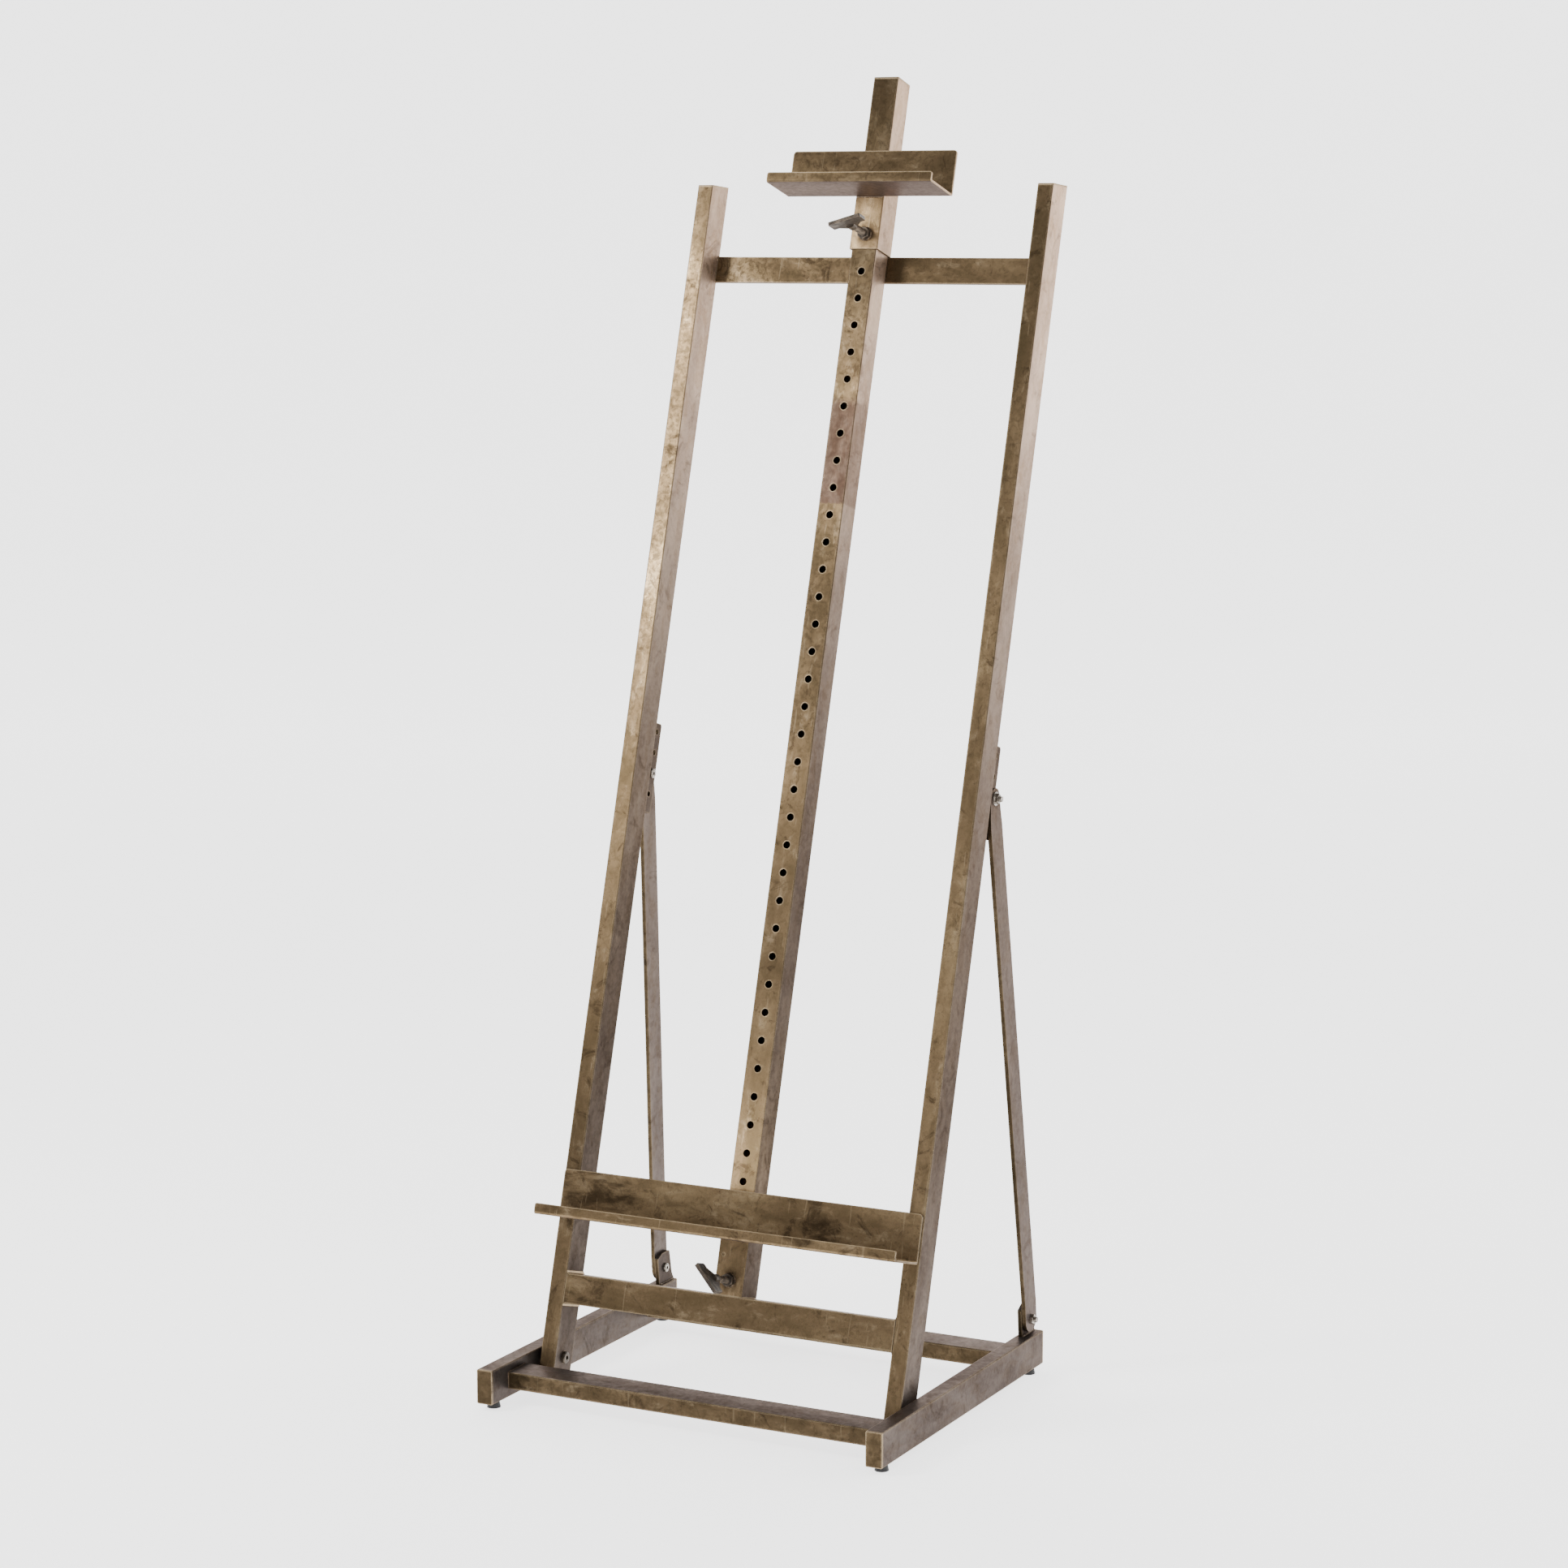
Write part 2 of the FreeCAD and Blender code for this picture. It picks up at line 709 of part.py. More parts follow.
# ---- write every node ----
nodes = {
    "right_base_rail": base_rail(),
    "left_base_rail": mirrored(base_rail()),
    "rail_end_caps": rail_end_caps(),
    "front_crossbar": base_crossbar(crossbar_inset),
    "rear_crossbar": base_crossbar(rail_length - crossbar_inset - crossbar_depth),
    "foot_inserts": foot_inserts(),
    "frame_pivot_bolts": both_sides(pivot_bolt()),
    "frame_pivot_spacers": both_sides(pivot_spacer()),
    "frame_pivot_inserts": both_sides(pivot_insert()),
    "right_strut_lug": strut_lug(),
    "left_strut_lug": mirrored(strut_lug()),
    "strut_base_bolts": both_sides(strut_base_bolt()),
    "strut_base_nuts": both_sides(strut_base_nut()),
    "right_upright": lean(upright()),
    "left_upright": lean(mirrored(upright())),
    "upright_top_caps": lean(both_sides(upright_top_cap())),
    "upright_end_plugs": lean(both_sides(upright_end_plug())),
    "pivot_bushes": lean(both_sides(pivot_bush())),
    "lower_crossbar": lean(lower_crossbar()),
    "upper_crossbar": lean(upper_crossbar()),
    "mast": lean(mast()),
    "mast_cap": lean(mast_cap()),
    "right_tilt_plate": lean(tilt_plate()),
    "left_tilt_plate": lean(mirrored(tilt_plate())),
    "right_strut": strut(),
    "left_strut": mirrored(strut()),
    "right_strut_top_bolt": strut_top_bolt(),
    "left_strut_top_bolt": mirrored(strut_top_bolt()),
    "right_strut_top_washer": strut_top_washer(),
    "left_strut_top_washer": mirrored(strut_top_washer()),
    "right_strut_top_nut": strut_top_nut(),
    "left_strut_top_nut": mirrored(strut_top_nut()),
    "tray_shelf": lean(bent_ledge(tray_width, tray_sleeve_start + tray_above_sleeve_end,
                                  tray_back_height, tray_depth, tray_lip_height)),
    "tray_sleeve": lean(sleeve(tray_sleeve_start, True)),
    "tray_clamp_nut": lean(clamp_nut(tray_sleeve_start)),
    "tray_clamp_stud": lean(clamp_stud(tray_sleeve_start)),
    "tray_clamp_bar": lean(clamp_bar(tray_sleeve_start, tray_clamp_turn)),
    "top_ledge": lean(bent_ledge(ledge_width, ledge_sleeve_start + ledge_above_sleeve_end,
                                 ledge_back_height, ledge_depth, ledge_lip_height)),
    "top_sleeve": lean(sleeve(ledge_sleeve_start, False)),
    "top_clamp_nut": lean(clamp_nut(ledge_sleeve_start)),
    "top_clamp_stud": lean(clamp_stud(ledge_sleeve_start)),
    "top_clamp_bar": lean(clamp_bar(ledge_sleeve_start, ledge_clamp_turn)),
}
for side_name, side in (("left", -1), ("right", 1)):
    for row_name, row_y in zip(("front", "rear"), foot_rows()):
        nodes[row_name + "_" + side_name + "_foot"] = foot(side, row_y)

os.makedirs("parts", exist_ok=True)
for name, shape in nodes.items():
    shape.exportStep(os.path.join("parts", name + ".step"))
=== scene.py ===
import json
import math
import random

import bpy
from mathutils import Matrix, Vector


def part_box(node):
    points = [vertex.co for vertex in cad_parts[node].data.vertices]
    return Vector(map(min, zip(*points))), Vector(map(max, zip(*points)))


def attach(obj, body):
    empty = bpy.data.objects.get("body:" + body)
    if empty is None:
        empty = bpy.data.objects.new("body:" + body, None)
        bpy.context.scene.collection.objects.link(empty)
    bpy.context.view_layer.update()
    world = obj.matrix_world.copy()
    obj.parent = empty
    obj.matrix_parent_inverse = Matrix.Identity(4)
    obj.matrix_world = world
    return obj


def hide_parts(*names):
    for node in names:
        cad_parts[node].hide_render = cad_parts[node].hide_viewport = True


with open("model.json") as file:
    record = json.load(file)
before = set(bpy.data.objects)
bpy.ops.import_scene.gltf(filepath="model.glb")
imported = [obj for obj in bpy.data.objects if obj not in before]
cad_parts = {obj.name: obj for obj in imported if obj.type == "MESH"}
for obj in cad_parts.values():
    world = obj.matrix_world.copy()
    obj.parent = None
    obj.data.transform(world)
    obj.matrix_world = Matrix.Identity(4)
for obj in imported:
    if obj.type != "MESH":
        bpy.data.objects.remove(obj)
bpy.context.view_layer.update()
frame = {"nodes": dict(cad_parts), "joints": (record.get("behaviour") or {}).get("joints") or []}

MM = 0.001
WHITE = (1.0, 1.0, 1.0)
RANDOM = random.Random(7)

# ---- weld beads: radii, then how far each bead sits in from an edge or sinks into a joint ----
UNDER_BEAD = 2.1 * MM
SIDE_BEAD = 1.5 * MM
NUT_BEAD = 1.5 * MM
BAR_BEAD = 1.7 * MM
PLATE_BEAD = 1.9 * MM
LUG_BEAD = 2.0 * MM
CROSSBAR_BEAD = 1.2 * MM
UNDER_END = 1.5 * MM
UNDER_OFFSET = 0.4 * MM
SIDE_SINK = 0.6 * MM
SIDE_START = 3 * MM
BEAD_INSET = 2 * MM
NUT_SINK = 0.2 * MM
NUT_RIM = 0.4 * MM
BAR_REAR_SINK = 0.8 * MM
PLATE_SINK = 0.3 * MM
CROSSBAR_SINK = 0.5 * MM

# ---- the ripples of a bead, as shares of its radius ----
BEAD_SIDES = 10
BEAD_STEP = 0.45
BEAD_END = 0.45
BEAD_MEAN = 0.82
BEAD_RIPPLE = 0.14
RIPPLE_JITTER = 0.07
SIDE_JITTER = 0.05
RING_SIDES = 24

# ---- threads of the clamp studs and of the strut bolts' ends ----
THREAD_PITCH = 1.75 * MM
THREAD_DEPTH = 0.75 * MM
THREAD_SIDES = 36
THREAD_STEPS = 8
TIP_OVERLAP = 2 * MM
TIP_LENGTH = 2.5 * MM
TIP_SHARE = 0.7
TIP_RINGS = ((0.6, 0.0), (1.0, 0.25), (1.0, 1.0))
BOLT_END = 4.6 * MM
BOLT_THREAD_LENGTH = 4.55 * MM
BOLT_THREAD_RADIUS = 4.25 * MM

# ---- rims of the mast's holes: radius and depth of each ring, and how the holes are told apart ----
RIM_RINGS = ((5.45, 0.6), (5.45, -0.12), (5.85, -0.22), (6.4, 0.02))
RIM_SIDES = 28
HOLE_LINE = 1.5 * MM
HOLE_SPREAD = 13 * MM
ON_FACE = 0.05 * MM

# ---- the stage ----
FLOOR_HALF = 20.0
FLOOR_FRONT = 45.0
FLOOR_BACK = 7.0
FLOOR_RISE = 6.0
WALL_TOP = 12.0
SWEEP_STEPS = 12
FLOOR_GLOW = 2.2
WORLD_GLOW = 0.5

# ---- each softbox: name, place, target, width and height, watts, colour ----
LIGHTS = (
    ("key_softbox", (-1.5, -1.6, 2.3), (-0.25, 0.1, 1.3), (0.7, 0.9), 36, (1.0, 0.985, 0.96)),
    ("right_fill", (3.2, 1.6, 2.2), (0.2, 0, 1.2), (1.6, 2.0), 34, WHITE),
    ("top_soft", (0.3, -0.6, 4.6), (0, 0, 0), (4.5, 4.5), 50, WHITE),
)

# ---- the camera: place in metres, turn and drop in degrees, lens and sensor in millimetres ----
CAMERA_PLACE = Vector((2.4522, -4.7893, 1.6578))
CAMERA_TURN = 27.2
CAMERA_DROP = -8.3
CAMERA_LENS = 87.44
CAMERA_SENSOR = 36.0
CAMERA_REACH = 100


# ---- the leaning frame's own directions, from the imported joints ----
def joint(name):
    for item in frame["joints"]:
        if item["name"] == name:
            return item
    raise KeyError(name)


RIGHT = Vector((1, 0, 0))
UP = Vector(joint("tray_slide")["axis"]).normalized()
OUT = Vector(joint("tray_clamp_travel")["axis"]).normalized()
BACK = -OUT
LEAN = math.atan2(UP.y, UP.z)
PIVOT = Vector(joint("frame_tilt")["pos_m"])


def on_frame(x, d, s):
    """World point from frame coordinates: across, back and up the frame, counted from its pivot."""
    return Vector((x, 0, 0)) + PIVOT + BACK * d + UP * s


def span(node, direction):
    """Lowest and highest reach of a CAD node from the frame pivot along a direction."""
    reaches = [(vertex.co - PIVOT).dot(direction) for vertex in frame["nodes"][node].data.vertices]
    return min(reaches), max(reaches)


def middle(node):
    """Height of a CAD node's middle up the frame."""
    return sum(span(node, UP)) / 2


# ---- material graphs ----
BEVEL_SAMPLES = 6
MIX_FIRST = 6
MIX_SECOND = 7
MIX_RESULT = 2
PATCH_CORE = 0.45


class Graph:
    """Short names for the nodes that the finishes are built from."""

    def __init__(self, name):
        self.material = bpy.data.materials.new(name)
        self.material.use_nodes = True
        self.nodes = self.material.node_tree.nodes
        self.links = self.material.node_tree.links
        self.shader = self.nodes["Principled BSDF"]
        self.coordinates = self.nodes.new("ShaderNodeTexCoord").outputs["Object"]

    def plug(self, value, socket):
        if isinstance(value, bpy.types.NodeSocket):
            self.links.new(value, socket)
        else:
            socket.default_value = value

    def mapped(self, vector, turn=(0, 0, 0), scale=(1, 1, 1), shift=(0, 0, 0)):
        node = self.nodes.new("ShaderNodeMapping")
        self.plug(vector, node.inputs["Vector"])
        node.inputs["Rotation"].default_value = turn
        node.inputs["Scale"].default_value = scale
        node.inputs["Location"].default_value = shift
        return node.outputs["Vector"]

    def noise(self, vector, scale, detail, roughness, distortion=0.0):
        node = self.nodes.new("ShaderNodeTexNoise")
        self.plug(vector, node.inputs["Vector"])
        node.inputs["Scale"].default_value = scale
        node.inputs["Detail"].default_value = detail
        node.inputs["Roughness"].default_value = roughness
        node.inputs["Distortion"].default_value = distortion
        return node.outputs["Fac"]

    def ramp(self, factor, stops):
        """Colour from a factor; a stop's colour may be a single level of grey."""
        node = self.nodes.new("ShaderNodeValToRGB")
        self.plug(factor, node.inputs["Fac"])
        elements = node.color_ramp.elements
        while len(elements) < len(stops):
            elements.new(0.5)
        for element, (place, colour) in zip(elements, stops):
            element.position = place
            element.color = (*(colour if isinstance(colour, tuple) else (colour,) * 3), 1.0)
        return node.outputs["Color"]

    def steps(self, value, low, high, start=0.0, end=1.0):
        """Smooth step that goes from start to end while the value goes from low to high."""
        node = self.nodes.new("ShaderNodeMapRange")
        node.interpolation_type = "SMOOTHSTEP"
        self.plug(value, node.inputs["Value"])
        for name, number in (("From Min", low), ("From Max", high), ("To Min", start), ("To Max", end)):
            node.inputs[name].default_value = number
        return node.outputs["Result"]

    def math(self, operation, first, second=0.0):
        node = self.nodes.new("ShaderNodeMath")
        node.operation = operation
        self.plug(first, node.inputs[0])
        self.plug(second, node.inputs[1])
        return node.outputs[0]

    def mix(self, factor, first, second, blend="MIX"):
        node = self.nodes.new("ShaderNodeMix")
        node.data_type = "RGBA"
        node.blend_type = blend
        self.plug(factor, node.inputs["Factor"])
        for value, socket in ((first, node.inputs[MIX_FIRST]), (second, node.inputs[MIX_SECOND])):
            self.plug((*value, 1.0) if isinstance(value, tuple) else value, socket)
        return node.outputs[MIX_RESULT]

    def height(self, vector):
        node = self.nodes.new("ShaderNodeSeparateXYZ")
        self.plug(vector, node.inputs[0])
        return node.outputs["Z"]

    def between(self, operation, first, second):
        """Single number from two vectors, such as their dot product or distance."""
        node = self.nodes.new("ShaderNodeVectorMath")
        node.operation = operation
        self.plug(first, node.inputs[0])
        self.plug(second, node.inputs[1])
        return node.outputs["Value"]

    def facing(self, direction):
        """How squarely the surface faces a fixed direction of the object."""
        normal = self.nodes.new("ShaderNodeTexCoord").outputs["Normal"]
        return self.between("DOT_PRODUCT", normal, direction)

    def near(self, place, x, s, reach):
        """Mask that is 1 at a spot of the leaning frame's face and fades out by its reach."""
        flat = self.mapped(place, scale=(1, 0, 1))
        return self.steps(self.between("DISTANCE", flat, (x, 0, s)), reach * PATCH_CORE, reach, 1.0, 0.0)

    def edges(self, radius):
        """Mask of outer corners: where a rounded normal leaves the true one."""
        bevel = self.nodes.new("ShaderNodeBevel")
        bevel.samples = BEVEL_SAMPLES
        bevel.inputs["Radius"].default_value = radius
        true_normal = self.nodes.new("ShaderNodeNewGeometry").outputs["True Normal"]
        return self.math("SUBTRACT", 1.0, self.between("DOT_PRODUCT", bevel.outputs["Normal"], true_normal))

    def bump(self, height, strength, distance, below=None):
        node = self.nodes.new("ShaderNodeBump")
        self.plug(height, node.inputs["Height"])
        node.inputs["Strength"].default_value = strength
        node.inputs["Distance"].default_value = distance
        if below is not None:
            self.plug(below, node.inputs["Normal"])
        return node.outputs["Normal"]

    def finish(self, colour, roughness, normal=None, metallic=0.0, specular=0.5):
        self.plug(colour, self.shader.inputs["Base Color"])
        self.plug(roughness, self.shader.inputs["Roughness"])
        self.plug(metallic, self.shader.inputs["Metallic"])
        self.shader.inputs["Specular IOR Level"].default_value = specular
        if normal is not None:
            self.plug(normal, self.shader.inputs["Normal"])
        return self.material


# ---- colours of the brass, and of the painted reflection on its sides and the painted shade under it ----
UMBER = (0.040, 0.026, 0.014)
OLIVE = (0.100, 0.070, 0.036)
BROWN = (0.155, 0.106, 0.058)
GOLD = (0.235, 0.165, 0.090)
PALE_GOLD = (0.460, 0.355, 0.225)
# painted reflection of the white studio on the side faces, in a dusty mauve
REFLECTION_MAUVE = (0.190, 0.162, 0.152)
PALE_REFLECTION_MAUVE = (0.275, 0.242, 0.228)
PURPLE = (0.075, 0.044, 0.033)
DUSTY_PURPLE = (0.120, 0.080, 0.062)
# painted shade on faces turned down, greyed as if lit by the pale floor
UNDERSIDE_SHADE = (0.100, 0.082, 0.078)
EDGE_TINT = (0.50, 0.44, 0.41, 1.0)

# ---- how the brass is drawn out along each part, and how it scatters light ----
GRAIN = {"X": (0.45, 1, 1), "Y": (1, 0.45, 1), "Z": (1, 1, 0.45)}
SEED_STEPS = (1.0, 0.7, 1.3)
SCRATCH_TURN = (0.3, 0.5, 0.4)
SCRATCH_SCALE = (1, 1, 0.08)
BRASS_METALLIC = 0.85
BRASS_SPECULAR = 0.3
# reach of the bright-corner mask, which is partly wear and partly painted highlight
WEAR_AND_GLINT_RADIUS = 3.0 * MM

# ---- painted highlight and reflection of the lamps, partly patina too, up the leaning frame's fronts and sides (each upright its own): share of the frame's height, then lightness.
# A ramp holds no level above 1, so the fades are halved or quartered in it and scaled back after.
FRAME_HEIGHT = span("mast_cap", UP)[1]
LEVEL = ((0.0, 1.0), (1.0, 1.0))
LEFT_LIGHT_AND_PATINA = ((0.0, 1.0), (0.10, 0.85), (0.17, 0.72), (0.36, 1.35), (0.55, 1.6), (0.72, 1.25),
             (0.82, 2.0), (0.92, 0.7))
RIGHT_LIGHT_AND_PATINA = ((0.0, 1.15), (0.18, 1.1), (0.32, 1.2), (0.45, 0.8), (0.60, 0.75), (0.80, 0.52),
              (1.0, 0.50))
MAST_LIGHT_AND_PATINA = ((0.08, 1.4), (0.16, 4.2), (0.23, 1.7), (0.31, 0.8), (0.46, 1.15), (0.55, 0.52),
             (0.62, 0.7), (0.664, 1.0), (0.75, 1.6), (0.83, 0.42), (0.90, 0.42), (1.0, 0.34))
SLEEVE_LIGHT_AND_PATINA = ((0.0, 1.35), (0.5, 1.3), (0.85, 2.1), (1.0, 1.7))
BAR_LIGHT_AND_PATINA = ((0.0, 0.95), (0.80, 0.62), (1.0, 0.60))
LEDGE_LIGHT_AND_PATINA = ((0.0, 1.15), (0.2, 1.15), (0.8, 0.48), (1.0, 0.48))
# painted reflection of the lamps on the side faces, brighter towards the top
SIDE_PAINTED_REFLECTION = ((0.0, 0.48), (0.08, 0.38), (0.19, 0.24), (0.35, 0.30), (0.50, 0.68), (0.61, 1.1),
             (0.77, 2.4), (1.0, 3.1))
# warmer tint of the painted side reflection towards the top
TOP_WARMTH = (1.05, 0.86, 0.66)
FRONT_RANGE = 2
SIDE_RANGE = 4

# ---- the purple heat stain round the mast, in shares of the frame's height ----
PURPLE_BAND = (0.664, 0.741)
BAND_BLEED = 0.002
BAND_WOBBLE = 0.006

# ---- darker patches: place across and up the frame, and reach ----
NUT_REACH = 22 * MM
NUT_DARK_PATCHES = [(0.0, middle(nut), NUT_REACH) for nut in ("tray_clamp_nut", "top_clamp_nut")]
TRAY_LEFT = span("tray_shelf", RIGHT)[0]
TRAY_TOP = span("tray_shelf", UP)[1]
TRAY_DARK_PATCHES = [
    (TRAY_LEFT + 35 * MM, TRAY_TOP - 22 * MM, 60 * MM),
    (TRAY_LEFT + 95 * MM, TRAY_TOP - 30 * MM, 35 * MM),
    (-TRAY_LEFT - 150 * MM, TRAY_TOP - 45 * MM, 36 * MM),
]


class Patina:
    """The noise fields that a part's finish is drawn from."""

    def __init__(self, g, local, grain):
        drawn = g.mapped(local, scale=GRAIN[grain])
        slant = g.mapped(local, turn=SCRATCH_TURN, scale=SCRATCH_SCALE)
        self.patches = g.noise(drawn, scale=13.0, detail=6.0, roughness=0.60, distortion=0.5)
        self.mottle = g.noise(drawn, scale=55.0, detail=7.0, roughness=0.64, distortion=0.5)
        self.clouds = g.noise(local, scale=130.0, detail=5.0, roughness=0.62, distortion=0.5)
        self.speckle = g.noise(local, scale=620.0, detail=3.0, roughness=0.7)
        self.blots = g.noise(local, scale=19.0, detail=7.0, roughness=0.74, distortion=1.6)
        self.scratch = g.noise(slant, scale=210.0, detail=2.0, roughness=0.5)
        self.stains = g.steps(self.blots, 0.53, 0.66, start=0.0, end=0.72)


def front_brass(g, field, place, dark_patches):
    """Golden brown of the fronts: patches, mottling, flecks, stains, darker spots round given places, and
    scratches.
    """
    colour = g.ramp(field.patches, ((0.30, OLIVE), (0.46, BROWN), (0.62, GOLD), (0.82, PALE_GOLD)))
    colour = g.mix(g.steps(field.mottle, 0.34, 0.54, start=0.55, end=0.0), colour, OLIVE)
    colour = g.mix(g.steps(field.mottle, 0.54, 0.74, start=0.0, end=0.40), colour, PALE_GOLD)
    colour = g.mix(g.steps(field.clouds, 0.36, 0.52, start=0.50, end=0.0), colour, OLIVE)
    fleck_cover = g.steps(field.clouds, 0.40, 0.60, start=0.65, end=0.10)
    flecks = g.math("MULTIPLY", g.steps(field.speckle, 0.55, 0.72), fleck_cover)
    colour = g.mix(flecks, colour, UMBER)
    colour = g.mix(field.stains, colour, UMBER)
    # darker round the clamp nuts and at the tray's top
    for x, s, reach in dark_patches:
        cover = g.steps(field.mottle, 0.40, 0.62, start=0.85, end=0.25)
        colour = g.mix(g.math("MULTIPLY", g.near(place, x, s, reach), cover), colour, UMBER)
    return g.mix(g.steps(field.scratch, 0.67, 0.71, start=0.0, end=0.18), colour, PALE_GOLD)


def side_reflection_brass(g, field):
    """Dusty mauve of the faces beside the fronts: a painted reflection of the studio, with the brass's own
    mottling and stains.
    """
    colour = g.mix(g.steps(field.patches, 0.32, 0.66), REFLECTION_MAUVE, PALE_REFLECTION_MAUVE)
    colour = g.mix(g.steps(field.mottle, 0.38, 0.54, start=0.30, end=0.0), colour, BROWN)
    colour = g.mix(g.steps(field.clouds, 0.40, 0.60, start=0.0, end=0.25), colour, PALE_REFLECTION_MAUVE)
    return g.mix(g.math("MULTIPLY", field.stains, 0.60), colour, UMBER)


def heat_band(g, field, colour, height, squareness):
    """Purple stain round the mast, with a crisp lower edge and a softer upper one."""
    wobble = g.math("MULTIPLY", g.math("SUBTRACT", field.clouds, 0.5), BAND_WOBBLE)
    along = g.math("ADD", height, wobble)
    low, high = PURPLE_BAND
    above = g.steps(along, low, low + BAND_BLEED)
    below = g.steps(along, high, high + 4 * BAND_BLEED, start=1.0, end=0.0)
    strength = g.steps(squareness, 0.3, 0.9, start=0.85, end=0.45)
    stain = g.mix(g.steps(field.mottle, 0.38, 0.64), PURPLE, DUSTY_PURPLE)
    return g.mix(g.math("MULTIPLY", g.math("MULTIPLY", above, below), strength), colour, stain)


def warmed(at, level):
    """Colour of a stop of the painted side reflection, which turns warmer towards the top."""
    return tuple(level / SIDE_RANGE * (1 - at * (1 - tint)) for tint in TOP_WARMTH)


def antique_brass(name, grain, fade, seed, leaning=True, lightness=1.0, side_lightness=1.0,
                  wear=1.0, dark_patches=(), banded=False):
    """Mottled antiqued brass with golden fronts, a painted mauve reflection on the sides, and bright
    corners that are partly wear and partly painted highlight.
    """
    g = Graph(name)
    turn = (LEAN, 0, 0) if leaning else (0, 0, 0)
    shift = -(Matrix.Rotation(LEAN, 3, "X") @ PIVOT) if leaning else Vector((0, 0, 0))
    place = g.mapped(g.coordinates, turn=turn, shift=shift)
    local = g.mapped(place, shift=tuple(seed * step for step in SEED_STEPS))
    field = Patina(g, local, grain)
    height = g.math("DIVIDE", g.height(place), FRAME_HEIGHT)
    # mask of the faces that get the painted side reflection: the sides, and on the base parts the tops too
    squareness = g.math("ABSOLUTE", g.facing((1, 0, 0)))
    if not leaning:
        squareness = g.math("MAXIMUM", squareness, g.facing((0, 0, 1)))

    # painted highlight of the lamps up the fronts, partly patina, as a lightness that changes with height
    half_front = g.ramp(height, [(at, level * lightness / FRONT_RANGE) for at, level in fade])
    front_light = g.mix(1.0, half_front, half_front, "ADD")
    colour = g.mix(1.0, front_brass(g, field, place, dark_patches), front_light, "MULTIPLY")

    # painted reflection of the studio on the side faces, brighter and warmer up the leaning frame, even on
    # the base
    side_fade = SIDE_PAINTED_REFLECTION if leaning else LEVEL
    glow = g.ramp(height, [(at, warmed(at, level * side_lightness)) for at, level in side_fade])
    side_light = g.mix(1.0, glow, (float(SIDE_RANGE),) * 3, "MULTIPLY")
    side_reflection = g.mix(1.0, side_reflection_brass(g, field), side_light, "MULTIPLY")
    colour = g.mix(g.steps(squareness, 0.55, 0.9, start=0.0, end=0.9), colour, side_reflection)
    # painted shade on the faces turned down
    downward = g.facing((0, -math.sin(LEAN), -math.cos(LEAN)))
    colour = g.mix(g.steps(downward, 0.75, 0.97, start=0.0, end=0.75), colour, UNDERSIDE_SHADE)
    if banded:
        colour = heat_band(g, field, colour, height, squareness)

    # bright corners, scaled by wear: partly rubbed wear, partly a painted highlight where the rounded
    # corners catch the light
    rubbed = g.steps(field.mottle, 0.30, 0.50, start=0.35 * wear, end=wear)
    wear_and_glint = g.math("MULTIPLY", g.steps(g.edges(WEAR_AND_GLINT_RADIUS), 0.01, 0.08), rubbed)
    colour = g.mix(wear_and_glint, colour, g.mix(0.25, PALE_GOLD, colour))

    broad_sheen = g.steps(field.patches, 0.3, 0.7, start=0.46, end=0.36)
    fine_sheen = g.steps(field.clouds, 0.3, 0.7, start=0.08, end=-0.06)
    roughness = g.math("ADD", broad_sheen, fine_sheen)
    fine = g.bump(g.math("ADD", field.scratch, field.speckle), strength=0.16, distance=0.2 * MM)
    broad = g.bump(g.math("ADD", field.mottle, field.clouds), strength=0.22, distance=0.7 * MM, below=fine)
    g.shader.inputs["Specular Tint"].default_value = EDGE_TINT
    return g.finish(colour, roughness, broad, metallic=BRASS_METALLIC, specular=BRASS_SPECULAR)


def weld_metal():
    g = Graph("weld_metal")
    lumps = g.noise(g.coordinates, scale=240.0, detail=6.0, roughness=0.7, distortion=0.4)
    colour = g.ramp(lumps, ((0.30, (0.030, 0.022, 0.016)), (0.52, (0.115, 0.080, 0.050)),
                            (0.75, (0.34, 0.25, 0.16))))
    normal = g.bump(lumps, strength=0.6, distance=0.6 * MM)
    return g.finish(colour, g.steps(lumps, 0.3, 0.7, start=0.62, end=0.40), normal, metallic=0.65)


def plated_steel():
    g = Graph("plated_steel")
    wear = g.noise(g.coordinates, scale=190.0, detail=6.0, roughness=0.65, distortion=0.3)
    fine = g.noise(g.coordinates, scale=1500.0, detail=3.0, roughness=0.6)
    colour = g.ramp(wear, ((0.30, (0.075, 0.056, 0.042)), (0.46, (0.20, 0.17, 0.14)),
                           (0.64, (0.42, 0.39, 0.35))))
    corner = g.steps(g.edges(0.8 * MM), 0.03, 0.18, start=0.0, end=0.7)
    colour = g.mix(corner, colour, (0.60, 0.56, 0.51))
    relief = g.math("ADD", wear, g.math("MULTIPLY", fine, 0.4))
    normal = g.bump(relief, strength=0.2, distance=0.2 * MM)
    return g.finish(colour, g.steps(wear, 0.3, 0.7, start=0.42, end=0.26), normal, metallic=0.9)


